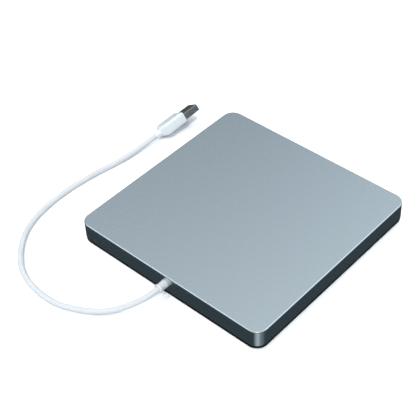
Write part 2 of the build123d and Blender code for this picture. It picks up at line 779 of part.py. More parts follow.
with BuildPart() as loading_motor:
    motor_start = motor_plate_at + motor_plate
    disc(along_y(worm_x, motor_start, worm_z), loading_motor_radius, loading_motor_end - motor_start)
    slab(at(Plane.XY, worm_x, (motor_start + loading_motor_end) / 2, worm_z + 2.7), 8, 30, 2, Mode.SUBTRACT)
    disc(along_y(worm_x, motor_start, worm_z), 0.6, 2.0, Mode.SUBTRACT)
finish(loading_motor, "loading_motor")

# ---------------------------------------------------------------- disc levers
lever_bottom = 11.2
lever_sheet = 0.8
roller_bottom = 8.95
roller_height = 2.1
roller_radius = 1.5
roller_pin = 0.6
lever_shapes = (("eject", lever_posts_at[0], 26.0, 213.5), ("centring", lever_posts_at[1], 22.2, -48.5))
for lever_name, (pivot_at_x, pivot_at_y), reach, rest_angle in lever_shapes:
    swing = Plane(
        origin=(pivot_at_x, pivot_at_y, lever_bottom),
        x_dir=(cos(radians(rest_angle)), sin(radians(rest_angle)), 0),
    )
    with BuildPart() as lever:
        with BuildSketch(swing):
            Circle(2.4)
            with BuildLine():
                Polyline((0, -2.0), (reach, -1.2), (reach, 1.2), (0, 2.0), close=True)
            make_face()
            with Locations((reach, 0)):
                Circle(1.4)
            Circle(lever_post_radius + shaft_gap, mode=Mode.SUBTRACT)
        extrude(amount=lever_sheet)
        disc(at(swing, reach, 0, 0), roller_pin, roller_bottom - lever_bottom - 0.1)
    finish(lever, lever_name + "_lever")
    with BuildPart() as roller:
        ring(at(swing, reach, 0, roller_bottom - lever_bottom), roller_radius, roller_pin + shaft_gap,
             roller_height)
    finish(roller, lever_name + "_roller")

# ---------------------------------------------------------------- electronics
board_thickness = 0.8
board_bottom = 4.5
board_holes = ((24.0, -56.5), (56.5, -56.5), (56.5, -2.0))
board_outline = ((20, -61), (60, -61), (60, 8), (54, 2), (24, -24), (20, -30))
standoff_radius = 1.4
board_screw_radius = 0.65
board_hole_radius = 0.7
board_screw_head = 1.3
with BuildPart() as main_board:
    with BuildSketch(level(board_bottom)):
        with BuildLine():
            Polyline(*board_outline, close=True)
        make_face()
        with Locations(*board_holes):
            Circle(board_hole_radius, mode=Mode.SUBTRACT)
    extrude(amount=board_thickness)
finish(main_board, "main_board")

board_top = board_bottom + board_thickness
main_chips = (
    (40.0, -44.0, 14.0, 14.0, 1.2),
    (51.0, -24.0, 8.0, 8.0, 0.9),
    (30.0, -32.0, 6.0, 10.0, 1.0),
    (28.0, -50.0, 5.0, 3.2, 1.0),
    (52.0, -40.0, 4.0, 9.0, 1.6),
)
with BuildPart() as main_board_chips:
    for x, y, length, width, height in main_chips:
        slab(at(Plane.XY, x, y, board_top), length, width, height)
finish(main_board_chips, "main_board_chips")

with BuildPart() as board_standoffs:
    for x, y in board_holes:
        disc(at(Plane.XY, x, y, floor_top), standoff_radius, board_bottom - floor_top)
        disc(at(Plane.XY, x, y, floor_top), board_screw_radius, board_top - floor_top)
        disc(at(Plane.XY, x, y, board_top), board_screw_head, 0.5)
finish(board_standoffs, "board_standoffs")

bridge_bottom = 4.6
bridge_front = 60.2
bridge_rear = 66.2
bridge_left = -42.0
bridge_right = 34.0
bridge_mid_y = (bridge_front + bridge_rear) / 2
bridge_holes = (bridge_left + 3, bridge_right - 3)
bridge_top = bridge_bottom + board_thickness
connector_front = 54.6
connector_height = 4.2
with BuildPart() as drive_connector:
    slab(at(Plane.XY, connector_x, (connector_front + bridge_front) / 2, 4.75), connector_width,
         bridge_front - connector_front, connector_height)
finish(drive_connector, "drive_connector")

with BuildPart() as bridge_board:
    slab(at(Plane.XY, (bridge_left + bridge_right) / 2, bridge_mid_y, bridge_bottom),
         bridge_right - bridge_left, bridge_rear - bridge_front, board_thickness)
    for x in bridge_holes:
        disc(at(Plane.XY, x, bridge_mid_y, bridge_bottom - 1), board_hole_radius, 3, Mode.SUBTRACT)
finish(bridge_board, "bridge_board")

bridge_chips = (
    (6.0, bridge_mid_y, 6.0, 4.6, 0.9),
    (25.0, bridge_mid_y, 3.2, 2.5, 0.8),
    (-36.0, bridge_mid_y, 2.0, 3.0, 0.9),
    (connector_x, bridge_mid_y - 0.8, connector_width, 4.4, 3.4),
)
with BuildPart() as bridge_board_chips:
    for x, y, length, width, height in bridge_chips:
        slab(at(Plane.XY, x, y, bridge_top), length, width, height)
finish(bridge_board_chips, "bridge_board_chips")

header_x = 16.0
header_pitch = 2.0
header_pins = 4
with BuildPart() as cable_header:
    slab(at(Plane.XY, header_x, bridge_mid_y, bridge_top), header_pitch * header_pins, 4.6, 3.0)
    for pin in range(header_pins):
        pin_x = header_x + header_pitch * (pin - (header_pins - 1) / 2)
        slab(at(Plane.XY, pin_x, bridge_mid_y - 0.4, bridge_top + 1), 1.2, 2.4, 3.0, Mode.SUBTRACT)
finish(cable_header, "cable_header")

with BuildPart() as bridge_posts:
    for x in bridge_holes:
        disc(at(Plane.XY, x, bridge_mid_y, inner_floor), standoff_radius, bridge_bottom - inner_floor)
        disc(at(Plane.XY, x, bridge_mid_y, inner_floor), board_screw_radius, bridge_top - inner_floor)
        disc(at(Plane.XY, x, bridge_mid_y, bridge_top), board_screw_head, 0.5)
finish(bridge_posts, "bridge_posts")

# ---------------------------------------------------------------- cable and plug
relief_end = rear_face + relief_reach
relief_waist = 2.4
relief_lip = 2.8
relief_flange = 4.0
with BuildPart() as strain_relief:
    with BuildSketch(Plane(origin=(exit_x, 0, exit_z), x_dir=(1, 0, 0), z_dir=(0, 0, 1))):
        with BuildLine():
            Polyline(
                (0, inner_half - 1.4),
                (relief_flange, inner_half - 1.4),
                (relief_flange, inner_half),
                (relief_radius, inner_half),
                (relief_radius, rear_face + 0.6),
                (relief_waist, relief_end - 1.6),
                (relief_lip, relief_end - 1.2),
                (relief_lip, relief_end - 0.3),
                (relief_waist + 0.1, relief_end),
                (0, relief_end),
                close=True,
            )
        make_face()
    revolve(axis=Axis((exit_x, 0, exit_z), (0, 1, 0)))
finish(strain_relief, "strain_relief")

# The plug rests on a rear corner: its plane's z points out of the metal shell and x along the wide face.
yaw = radians(plug_yaw)
rise = radians(plug_rise)
roll = radians(plug_roll)
plug_out = Vector(sin(yaw) * cos(rise), -cos(yaw) * cos(rise), sin(rise))
plug_level = Vector(cos(yaw), sin(yaw), 0)
plug_up = plug_out.cross(plug_level)
plug = Plane(origin=plug_joint, x_dir=plug_level * cos(roll) - plug_up * sin(roll), z_dir=plug_out)

cable_end = -plug_length - plug_boot_length
cable_floor = cable_diameter / 2 + 0.05
cable_route = [
    (exit_x, relief_end, exit_z),
    (exit_x, 81.5, exit_z),
    (4.0, 92.5, 6.5),
    (12.5, 102.5, 3.2),
    (26.0, 111.0, cable_floor),
    (44.0, 118.0, cable_floor),
    (71.0, 115.0, cable_floor),
    (89.0, 102.0, cable_floor),
    (102.5, 82.5, cable_floor),
    (107.0, 54.0, cable_floor),
    (105.0, 26.5, cable_floor),
    (100.5, 5.0, cable_floor),
    plug.from_local_coords((0, 0, cable_end - 12)),
    plug.from_local_coords((0, 0, cable_end)),
]


def bend_radii(points):
    """The largest tangent arc that each corner of a route allows."""
    radii = []
    for before, corner, after in zip(points, points[1:], points[2:]):
        run_in = Vector(corner) - Vector(before)
        run_out = Vector(after) - Vector(corner)
        half_turn = radians(run_in.get_angle(run_out)) / 2
        radii.append(0.45 * min(run_in.length, run_out.length) / tan(half_turn))
    return radii


cable_radii = bend_radii(cable_route)
with BuildPart() as cable:
    with BuildLine() as cable_path:
        FilletPolyline(*cable_route, radius=cable_radii)
    with BuildSketch(Plane(origin=cable_route[0], x_dir=(1, 0, 0), z_dir=(0, 1, 0))):
        Circle(cable_diameter / 2)
    sweep()
finish(cable, "cable")
print("cable radii", [round(radius, 1) for radius in cable_radii])
cable_length = sum(edge.length for edge in cable_path.edges())
cable_section = pi * (cable_diameter / 2) ** 2
print("cable length", round(cable_length, 1))
print("cable volume over section times length", round(cable.part.volume / (cable_section * cable_length), 4))

plug_corner = 1.8
plug_shoulder = 2.5
plug_neck_width = 7.0
plug_neck_thickness = 6.2
boot_front_radius = 2.8
boot_rear_radius = 2.1
shell_sheet = 0.3
shell_corner = 0.5
shell_buried = 5.0
latch_width = 2.5
latch_length = 2.0
latch_x = 2.9
latch_z = 6.0
fit_gap = 0.02

with BuildPart() as plug_overmould:
    with BuildSketch(plug.offset(plug_shoulder - plug_length)):
        RectangleRounded(plug_width, plug_thickness, plug_corner)
    extrude(amount=plug_length - plug_shoulder)
    with BuildSketch(plug.offset(plug_shoulder - plug_length)):
        RectangleRounded(plug_width, plug_thickness, plug_corner)
    with BuildSketch(plug.offset(-plug_length)):
        RectangleRounded(plug_neck_width, plug_neck_thickness, plug_corner)
    loft()
    slab(plug.offset(-shell_buried), shell_width + 2 * fit_gap, shell_thickness + 2 * fit_gap, shell_buried,
         Mode.SUBTRACT)
finish(plug_overmould, "plug_overmould")

with BuildPart() as plug_boot:
    with BuildSketch(plug.offset(-plug_length)):
        Circle(boot_front_radius)
    with BuildSketch(plug.offset(cable_end)):
        Circle(boot_rear_radius)
    loft()
finish(plug_boot, "plug_boot")

with BuildPart() as plug_shell:
    with BuildSketch(plug.offset(-shell_buried)):
        RectangleRounded(shell_width, shell_thickness, shell_corner)
        Rectangle(shell_width - 2 * shell_sheet, shell_thickness - 2 * shell_sheet, mode=Mode.SUBTRACT)
    extrude(amount=shell_buried + shell_length)
    # Latch windows in both wide faces.
    with BuildSketch(facing_y(plug, 0, -shell_thickness, latch_z)):
        with Locations((-latch_x, 0), (latch_x, 0)):
            Rectangle(latch_width, latch_length)
    extrude(amount=2 * shell_thickness, mode=Mode.SUBTRACT)
finish(plug_shell, "plug_shell")

plug_tongue_width = shell_width - 2 * shell_sheet - 2 * fit_gap
tongue_bottom = -shell_thickness / 2 + shell_sheet + fit_gap
tongue_thickness = 1.9
tongue_length = shell_buried + shell_length - 0.6
with BuildPart() as plug_tongue:
    slab(at(plug, 0, tongue_bottom + tongue_thickness / 2, -shell_buried), plug_tongue_width,
         tongue_thickness, tongue_length)
finish(plug_tongue, "plug_tongue")

contact_pitch = 2.3
contact_width = 1.2
contact_sheet = 0.2
contact_length = 8.0
with BuildPart() as plug_contacts:
    for place in range(4):
        slab(at(plug, (place - 1.5) * contact_pitch, tongue_bottom + tongue_thickness + contact_sheet / 2, 1.5),
             contact_width, contact_sheet, contact_length)
finish(plug_contacts, "plug_contacts")
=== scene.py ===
import json
import math

import bmesh
import bpy
from mathutils import Matrix, Vector


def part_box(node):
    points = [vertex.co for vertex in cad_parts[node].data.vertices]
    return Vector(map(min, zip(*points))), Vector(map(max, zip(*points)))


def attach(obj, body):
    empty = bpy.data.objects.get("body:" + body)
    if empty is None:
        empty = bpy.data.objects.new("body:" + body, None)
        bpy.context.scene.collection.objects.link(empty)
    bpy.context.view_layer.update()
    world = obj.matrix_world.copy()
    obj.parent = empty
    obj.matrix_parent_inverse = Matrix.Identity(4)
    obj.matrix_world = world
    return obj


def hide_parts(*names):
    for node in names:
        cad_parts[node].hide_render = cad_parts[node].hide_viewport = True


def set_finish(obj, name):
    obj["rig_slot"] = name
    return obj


# Looks of the external optical drive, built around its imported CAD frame. Metres, +Z up.
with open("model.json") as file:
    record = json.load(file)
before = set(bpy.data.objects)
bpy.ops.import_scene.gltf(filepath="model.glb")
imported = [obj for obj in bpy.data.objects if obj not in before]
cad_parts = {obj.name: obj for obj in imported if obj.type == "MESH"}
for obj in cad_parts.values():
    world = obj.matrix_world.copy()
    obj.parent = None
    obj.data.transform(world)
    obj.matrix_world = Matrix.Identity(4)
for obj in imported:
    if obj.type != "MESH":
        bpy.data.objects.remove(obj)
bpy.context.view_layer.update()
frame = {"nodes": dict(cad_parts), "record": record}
MM = 0.001


def add_object(name, data):
    """A new object with this data, put into the scene."""
    thing = bpy.data.objects.new(name, data)
    bpy.context.scene.collection.objects.link(thing)
    return thing


# ---------------------------------------------------------------- camera
def aim_camera():
    """A long lens that looks down at the rear left corner of the casing."""
    azimuth = math.radians(223.418)
    elevation = math.radians(43.308)
    roll = math.radians(-2.563)
    distance = 658.43 * MM
    target = Vector((25.23, 2.49, 1.4)) * MM
    back = Vector((
        math.sin(azimuth) * math.cos(elevation),
        -math.cos(azimuth) * math.cos(elevation),
        math.sin(elevation),
    ))
    side = Vector((0, 0, 1)).cross(back).normalized()
    turn = Matrix((side, back.cross(side), back)).transposed() @ Matrix.Rotation(roll, 3, "Z")
    data = bpy.data.cameras.new("camera")
    data.sensor_width = 36.0
    data.lens = 91.63
    data.clip_start = 0.01
    data.clip_end = 50.0
    camera = add_object("camera", data)
    camera.matrix_world = Matrix.Translation(target + back * distance) @ turn.to_4x4()
    bpy.context.scene.camera = camera


aim_camera()

# ---------------------------------------------------------------- cable and plug
CABLE_RADIUS = 1.75 * MM
RELIEF_EXIT = Vector((-0.5, 75.5, 8.4)) * MM
PLUG_LENGTH = 18.5 * MM
BOOT_LENGTH = 4.5 * MM
SHARP_ANGLE = math.radians(40)


def plug_matrix():
    """The plug's frame, tipped up and rolled onto one corner: z out of the shell, x along its wide face."""
    joint = Vector((95.3, -47.1, 8.45)) * MM
    yaw = math.radians(-5.0)
    rise = math.radians(8.0)
    roll = math.radians(35.0)
    out = Vector((math.sin(yaw) * math.cos(rise), -math.cos(yaw) * math.cos(rise), math.sin(rise)))
    level = Vector((math.cos(yaw), math.sin(yaw), 0))
    wide = level * math.cos(roll) - out.cross(level) * math.sin(roll)
    turn = Matrix((wide, out.cross(wide), out)).transposed()
    return Matrix.Translation(joint) @ turn.to_4x4()


PLUG_PLACE = plug_matrix()

# The cable's centre line, in millimetres: most of it lies on the floor, and its end runs straight to the boot
CABLE_FLOOR = 1.8
STRAIGHT_LEAD = 12 * MM
CABLE_END = PLUG_PLACE @ Vector((0, 0, -PLUG_LENGTH - BOOT_LENGTH)) / MM
CABLE_LEAD = PLUG_PLACE @ Vector((0, 0, -PLUG_LENGTH - BOOT_LENGTH - STRAIGHT_LEAD)) / MM
CABLE_ROUTE = (
    (-0.5, 75.5, 8.4),
    (-0.5, 81.5, 8.4),
    (4.0, 92.5, 6.5),
    (12.5, 102.5, 3.2),
    (26.0, 111.0, CABLE_FLOOR),
    (44.0, 118.0, CABLE_FLOOR),
    (71.0, 115.0, CABLE_FLOOR),
    (89.0, 102.0, CABLE_FLOOR),
    (102.5, 82.5, CABLE_FLOOR),
    (107.0, 54.0, CABLE_FLOOR),
    (105.0, 26.5, CABLE_FLOOR),
    (100.5, 5.0, CABLE_FLOOR),
    CABLE_LEAD,
    CABLE_END,
)


def lay_cable():
    """The free cable: one smooth spline over the listed route, whose points carry its radius."""
    curve = bpy.data.curves.new("cable_jacket", "CURVE")
    curve.dimensions = "3D"
    curve.bevel_depth = 1.0
    curve.bevel_resolution = 8
    curve.resolution_u = 24
    spline = curve.splines.new("NURBS")
    spline.points.add(len(CABLE_ROUTE) - 1)
    for point, place in zip(spline.points, CABLE_ROUTE):
        point.co = (*(Vector(place) * MM), 1.0)
        point.radius = CABLE_RADIUS
    spline.order_u = 3
    spline.use_endpoint_u = True
    return add_object("cable_jacket", curve)


def rounded_ring(width, height, corner, steps=8):
    """Points round a rectangle with round corners, in its own plane."""
    points = []
    for turn, (across, up) in enumerate(((1, 1), (-1, 1), (-1, -1), (1, -1))):
        for step in range(steps + 1):
            angle = math.pi / 2 * (turn + step / steps)
            points.append((
                across * (width / 2 - corner) + corner * math.cos(angle),
                up * (height / 2 - corner) + corner * math.sin(angle),
            ))
    return points


def loft(name, frame_matrix, stations):
    """A closed mesh through rounded rectangles: each station is (place along z, width, height, corner)."""
    mesh = bpy.data.meshes.new(name)
    build = bmesh.new()
    rings = []
    for along, width, height, corner in stations:
        outline = rounded_ring(width, height, corner)
        rings.append([build.verts.new(frame_matrix @ Vector((x, y, along))) for x, y in outline])
    count = len(rings[0])
    for low, high in zip(rings, rings[1:]):
        for index in range(count):
            after = (index + 1) % count
            build.faces.new((low[index], low[after], high[after], high[index]))
    build.faces.new(list(reversed(rings[0])))
    build.faces.new(rings[-1])
    bmesh.ops.recalc_face_normals(build, faces=build.faces)
    build.to_mesh(mesh)
    build.free()
    for face in mesh.polygons:
        face.use_smooth = True
    mesh.set_sharp_from_angle(angle=SHARP_ANGLE)
    return add_object(name, mesh)


def round_over(along_start, along_end, width, height, corner, depth, steps=4):
    """Stations that round the edge of an end face, from the full size in to the face."""
    stations = []
    for step in range(steps + 1):
        angle = math.pi / 2 * step / steps
        pull = depth * (1 - math.cos(angle))
        along = along_start + (along_end - along_start) * math.sin(angle)
        stations.append((along, width - 2 * pull, height - 2 * pull, max(corner - pull, 0.2 * MM)))
    return stations


def mould_plug_body():
    """The white overmould: a flat handle with sloping shoulders down to the cable's boot."""
    width = 13.2 * MM
    height = 7.6 * MM
    corner = 1.7 * MM
    shoulder = 2.5 * MM
    neck_width = 7.0 * MM
    neck_height = 6.2 * MM
    edge = 0.5 * MM
    rear = -PLUG_LENGTH
    stations = [
        (rear, neck_width - 2 * edge, neck_height - 2 * edge, 1.4 * MM),
        (rear + 0.15 * edge, neck_width - edge, neck_height - edge, 1.7 * MM),
        (rear + edge, neck_width, neck_height, 1.9 * MM),
        (rear + shoulder * 0.88, width - 0.9 * MM, height - 0.3 * MM, corner),
        (rear + shoulder, width - 0.3 * MM, height - 0.08 * MM, corner),
        (rear + shoulder * 1.2, width, height, corner),
    ]
    stations += round_over(-edge, 0.0, width, height, corner, edge)
    return loft("plug_body", PLUG_PLACE, stations)


def mould_plug_boot():
    """The soft taper between the plug's body and its cable."""
    front = -PLUG_LENGTH
    rear = front - BOOT_LENGTH
    stations = [
        (rear, 3.6 * MM, 3.6 * MM, 1.79 * MM),
        (rear + 0.3 * MM, 4.1 * MM, 4.1 * MM, 2.04 * MM),
        (rear + BOOT_LENGTH * 0.5, 4.7 * MM, 4.7 * MM, 2.34 * MM),
        (front - 0.8 * MM, 5.3 * MM, 5.3 * MM, 2.6 * MM),
        (front, 5.6 * MM, 5.6 * MM, 2.75 * MM),
    ]
    return loft("plug_neck", PLUG_PLACE, stations)


def mould_strain_relief():
    """The tapered sleeve that carries the cable out of the rear wall."""
    out = Vector((0, 1, 0))
    side = Vector((1, 0, 0))
    turn = Matrix((side, out.cross(side), out)).transposed()
    place = Matrix.Translation(RELIEF_EXIT) @ turn.to_4x4()
    inner_end = (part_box("strain_relief")[0].y - RELIEF_EXIT.y) / MM
    corner_share = 0.499
    # Along the sleeve and across it, in millimetres, from the flange inside the wall out to the lip
    profile = (
        (inner_end, 7.8),
        (inner_end + 1.3, 7.8),
        (inner_end + 1.4, 5.2),
        (-5.6, 5.2),
        (-5.2, 5.1),
        (-1.9, 4.9),
        (-1.6, 5.3),
        (-1.2, 5.6),
        (-0.6, 5.6),
        (-0.2, 5.3),
        (0.0, 4.6),
    )
    stations = []
    for along, across in profile:
        size = across * MM
        stations.append((along * MM, size, size, size * corner_share))
    return loft("relief_sleeve", place, stations)


cable = lay_cable()
plug_body = mould_plug_body()
plug_boot = mould_plug_boot()
relief = mould_strain_relief()
for piece, node, slot_name in (
    (cable, "cable", "cable_white"),
    (plug_body, "plug_overmould", "plug_white"),
    (plug_boot, "plug_boot", "plug_white"),
    (relief, "strain_relief", "cable_white"),
):
    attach(piece, "casing")
    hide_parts(node)
    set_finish(piece, slot_name)


# ---------------------------------------------------------------- material tools
BAND_SCALE = 0.314  # The wave texture's scale that gives about one band in each metre


class Finish:
    """A procedural material with short calls for the nodes that every finish needs."""

    def __init__(self, name, colour, roughness, metallic=0.0):
        self.material = bpy.data.materials.new(name)
        self.material.use_nodes = True
        self.tree = self.material.node_tree
        self.shader = self.tree.nodes["Principled BSDF"]
        self.shader.inputs["Base Color"].default_value = (*colour, 1.0)
        self.shader.inputs["Roughness"].default_value = roughness
        self.shader.inputs["Metallic"].default_value = metallic
        self.place = self.tree.nodes.new("ShaderNodeTexCoord").outputs["Object"]
        self.normal = None

    def link(self, source, target):
        self.tree.links.new(source, target)

    def noise(self, size, detail=3.0, stretch=(1, 1, 1)):
        """Noise with grains of about a size in metres, stretched along each axis by its factor."""
        mapping = self.tree.nodes.new("ShaderNodeMapping")
        mapping.inputs["Scale"].default_value = [1 / (size * factor) for factor in stretch]
        self.link(self.place, mapping.inputs["Vector"])
        node = self.tree.nodes.new("ShaderNodeTexNoise")
        node.inputs["Scale"].default_value = 1.0
        node.inputs["Detail"].default_value = detail
        self.link(mapping.outputs["Vector"], node.inputs["Vector"])
        return node.outputs["Fac"]

    def bands(self, spacing, axis, wobble=0.0):
        """Even bands across an axis, such as wire or a track pattern."""
        node = self.tree.nodes.new("ShaderNodeTexWave")
        node.bands_direction = axis
        node.inputs["Scale"].default_value = BAND_SCALE / spacing
        node.inputs["Distortion"].default_value = wobble
        self.link(self.place, node.inputs["Vector"])
        return node.outputs["Fac"]

    def spread(self, source, low, high, start=0.35, end=0.65):
        """A value between low and high as a pattern goes from start to end."""
        node = self.tree.nodes.new("ShaderNodeMapRange")
        node.inputs["From Min"].default_value = start
        node.inputs["From Max"].default_value = end
        node.inputs["To Min"].default_value = low
        node.inputs["To Max"].default_value = high
        self.link(source, node.inputs["Value"])
        return node.outputs["Result"]

    def tint(self, source, first, second, start=0.35, end=0.65):
        """The base colour goes from first to second with a pattern."""
        node = self.tree.nodes.new("ShaderNodeValToRGB")
        node.color_ramp.elements[0].position = start
        node.color_ramp.elements[0].color = (*first, 1.0)
        node.color_ramp.elements[1].position = end
        node.color_ramp.elements[1].color = (*second, 1.0)
        self.link(source, node.inputs["Fac"])
        self.link(node.outputs["Color"], self.shader.inputs["Base Color"])

    def rough(self, source, low, high, start=0.35, end=0.65):
        """The roughness goes from low to high with a pattern."""
        self.link(self.spread(source, low, high, start, end), self.shader.inputs["Roughness"])

    def bump(self, source, depth):
        """Raises the surface with a pattern, to a depth in metres; bumps add up."""
        node = self.tree.nodes.new("ShaderNodeBump")
        node.inputs["Distance"].default_value = depth
        self.link(source, node.inputs["Height"])
        if self.normal is not None:
            self.link(self.normal, node.inputs["Normal"])
        self.normal = node.outputs["Normal"]
        self.link(self.normal, self.shader.inputs["Normal"])


# ---------------------------------------------------------------- materials
def cover_aluminium():
    """Bead-blasted aluminium with a clear satin anodised coat."""
    finish = Finish("cover_aluminium", (0.555, 0.635, 0.665), 0.27, metallic=1.0)
    finish.tint(finish.noise(0.2 * MM, 2), (0.551, 0.631, 0.661), (0.559, 0.639, 0.669))
    finish.rough(finish.noise(0.15 * MM, 2), 0.262, 0.278)
    finish.bump(finish.noise(0.12 * MM, 1), 0.0002 * MM)
    return finish.material


def base_plastic():
    """Black moulded plastic with a fine spark texture; its colour is darkened to near black as painted shade
    of the gap under the casing's edge.
    """
    # The near-black colour and tint are partly the plastic's own black and partly painted shade of the dark
    # gap under the casing.
    finish = Finish("base_plastic", (0.003, 0.003, 0.0035), 0.5)
    finish.shader.inputs["Specular IOR Level"].default_value = 0.3
    finish.tint(finish.noise(6 * MM), (0.002, 0.002, 0.0025), (0.004, 0.004, 0.0045))
    finish.rough(finish.noise(3 * MM), 0.42, 0.58)
    finish.bump(finish.noise(0.3 * MM, 2), 0.02 * MM)
    return finish.material


def rubber():
    """Soft dark rubber with a dull skin."""
    finish = Finish("rubber", (0.03, 0.03, 0.03), 0.8)
    finish.tint(finish.noise(4 * MM), (0.022, 0.022, 0.023), (0.045, 0.044, 0.042))
    finish.rough(finish.noise(1 * MM), 0.7, 0.9)
    finish.bump(finish.noise(0.2 * MM), 0.02 * MM)
    return finish.material


def felt():
    """Short black pile round the disc slot."""
    finish = Finish("felt", (0.02, 0.02, 0.02), 0.95)
    finish.shader.inputs["Sheen Weight"].default_value = 0.4
    finish.tint(finish.noise(0.25 * MM, 5), (0.008, 0.008, 0.008), (0.05, 0.05, 0.05))
    finish.bump(finish.noise(0.12 * MM, 5, (1, 3, 1)), 0.08 * MM)
    return finish.material


def zinc_steel():
    """Bright zinc-plated sheet with faint rolling lines."""
    finish = Finish("zinc_steel", (0.60, 0.61, 0.60), 0.33, metallic=1.0)
    finish.tint(finish.noise(5 * MM, 5), (0.52, 0.54, 0.55), (0.66, 0.66, 0.63))
    finish.rough(finish.noise(0.5 * MM, 4, (30, 1, 1)), 0.25, 0.42)
    finish.bump(finish.noise(0.2 * MM, 3, (60, 1, 1)), 0.004 * MM)
    return finish.material


def screw_steel():
    """Blackened screw steel."""
    finish = Finish("screw_steel", (0.10, 0.10, 0.105), 0.4, metallic=1.0)
    finish.tint(finish.noise(0.6 * MM), (0.07, 0.07, 0.075), (0.16, 0.16, 0.165))
    finish.rough(finish.noise(0.3 * MM), 0.3, 0.5)
    finish.bump(finish.noise(0.1 * MM), 0.005 * MM)
    return finish.material


def shaft_steel():
    """Ground bar with fine marks round it."""
    finish = Finish("shaft_steel", (0.70, 0.71, 0.72), 0.18, metallic=1.0)
    finish.tint(finish.noise(2 * MM), (0.66, 0.67, 0.68), (0.74, 0.745, 0.75))
    finish.rough(finish.noise(0.15 * MM, 3, (1, 1, 12)), 0.12, 0.26)
    finish.bump(finish.noise(0.1 * MM), 0.002 * MM)
    return finish.material


def deck_aluminium():
    """Die-cast aluminium with its grey, slightly pitted skin."""
    finish = Finish("deck_aluminium", (0.45, 0.46, 0.47), 0.5, metallic=1.0)
    finish.tint(finish.noise(3 * MM, 5), (0.38, 0.39, 0.40), (0.52, 0.53, 0.54))
    finish.rough(finish.noise(0.8 * MM, 4), 0.42, 0.62)
    finish.bump(finish.noise(0.3 * MM, 4), 0.02 * MM)
    return finish.material


def black_plastic():
    """Black moulded plastic of the mechanism, with a fine grain."""
    finish = Finish("black_plastic", (0.02, 0.02, 0.022), 0.4)
    finish.tint(finish.noise(2 * MM), (0.014, 0.014, 0.016), (0.032, 0.032, 0.034))
    finish.rough(finish.noise(1 * MM), 0.3, 0.5)
    finish.bump(finish.noise(0.25 * MM), 0.008 * MM)
    return finish.material


def white_acetal():
    """Natural moulded acetal, slightly waxy and creamy."""
    finish = Finish("white_acetal", (0.58, 0.57, 0.525), 0.35)
    finish.shader.inputs["Subsurface Weight"].default_value = 0.1
    finish.shader.inputs["Subsurface Radius"].default_value = (0.001, 0.0009, 0.0007)
    finish.tint(finish.noise(3 * MM), (0.55, 0.54, 0.49), (0.61, 0.60, 0.56))
    finish.rough(finish.noise(1 * MM), 0.28, 0.44)
    finish.bump(finish.noise(0.4 * MM), 0.005 * MM)
    return finish.material


def copper_coil():
    """Enamelled wire, wound side by side."""
    finish = Finish("copper_coil", (0.72, 0.32, 0.12), 0.3, metallic=1.0)
    winding = finish.bands(0.12 * MM, "DIAGONAL", wobble=0.4)
    finish.tint(winding, (0.35, 0.13, 0.05), (0.80, 0.38, 0.15), 0.1, 0.6)
    finish.rough(finish.noise(0.4 * MM), 0.22, 0.4)
    finish.bump(winding, 0.03 * MM)
    return finish.material


def lens_glass():
    """Coated lens glass."""
    finish = Finish("lens_glass", (0.30, 0.38, 0.75), 0.04)
    finish.shader.inputs["Transmission Weight"].default_value = 0.6
    finish.shader.inputs["IOR"].default_value = 1.55
    finish.tint(finish.noise(1.5 * MM), (0.22, 0.30, 0.75), (0.42, 0.38, 0.78))
    finish.rough(finish.noise(0.5 * MM), 0.02, 0.07)
    return finish.material


def green_board():
    """Solder mask over copper tracks."""
    finish = Finish("green_board", (0.01, 0.12, 0.05), 0.3)
    tracks = finish.bands(0.9 * MM, "X", wobble=3.0)
    finish.tint(tracks, (0.006, 0.085, 0.035), (0.015, 0.17, 0.07), 0.45, 0.55)
    finish.rough(finish.noise(2 * MM), 0.22, 0.38)
    finish.bump(finish.spread(tracks, 0, 1, 0.45, 0.55), 0.02 * MM)
    return finish.material


def chip_black():
    """Dull black moulding compound of the chips."""
    finish = Finish("chip_black", (0.018, 0.018, 0.02), 0.55)
    finish.tint(finish.noise(1.5 * MM), (0.012, 0.012, 0.014), (0.03, 0.03, 0.03))
    finish.rough(finish.noise(0.4 * MM), 0.45, 0.65)
    finish.bump(finish.noise(0.12 * MM), 0.01 * MM)
    return finish.material


def cable_white():
    """Soft satin cable jacket with a faint drawn grain."""
    finish = Finish("cable_white", (0.51, 0.53, 0.545), 0.42)
    finish.shader.inputs["Subsurface Weight"].default_value = 0.15
    finish.shader.inputs["Subsurface Radius"].default_value = (0.001, 0.001, 0.001)
    finish.tint(finish.noise(9 * MM, 4), (0.495, 0.515, 0.53), (0.525, 0.545, 0.56))
    finish.rough(finish.noise(2 * MM, 4), 0.34, 0.52)
    finish.bump(finish.noise(0.35 * MM, 3), 0.008 * MM)
    return finish.material


def plug_white():
    """Glossy injection-moulded white plastic."""
    finish = Finish("plug_white", (0.61, 0.645, 0.67), 0.2)
    finish.shader.inputs["Coat Weight"].default_value = 0.3
    finish.shader.inputs["Coat Roughness"].default_value = 0.08
    finish.shader.inputs["Subsurface Weight"].default_value = 0.15
    finish.shader.inputs["Subsurface Radius"].default_value = (0.001, 0.001, 0.001)
    finish.tint(finish.noise(7 * MM, 3), (0.595, 0.63, 0.655), (0.625, 0.66, 0.685))
    finish.rough(finish.noise(1.5 * MM, 4), 0.16, 0.28)
    finish.bump(finish.noise(0.8 * MM, 2), 0.006 * MM)
    return finish.material


def plug_steel():
    """Nickel-plated steel with light insertion scratches along the plug."""
    finish = Finish("plug_steel", (0.31, 0.32, 0.315), 0.2, metallic=1.0)
    finish.tint(finish.noise(2 * MM, 4), (0.28, 0.29, 0.285), (0.34, 0.35, 0.345))
    scratches = finish.noise(0.12 * MM, 3, (1, 60, 1))
    finish.rough(scratches, 0.14, 0.32)
    finish.bump(scratches, 0.004 * MM)
    return finish.material


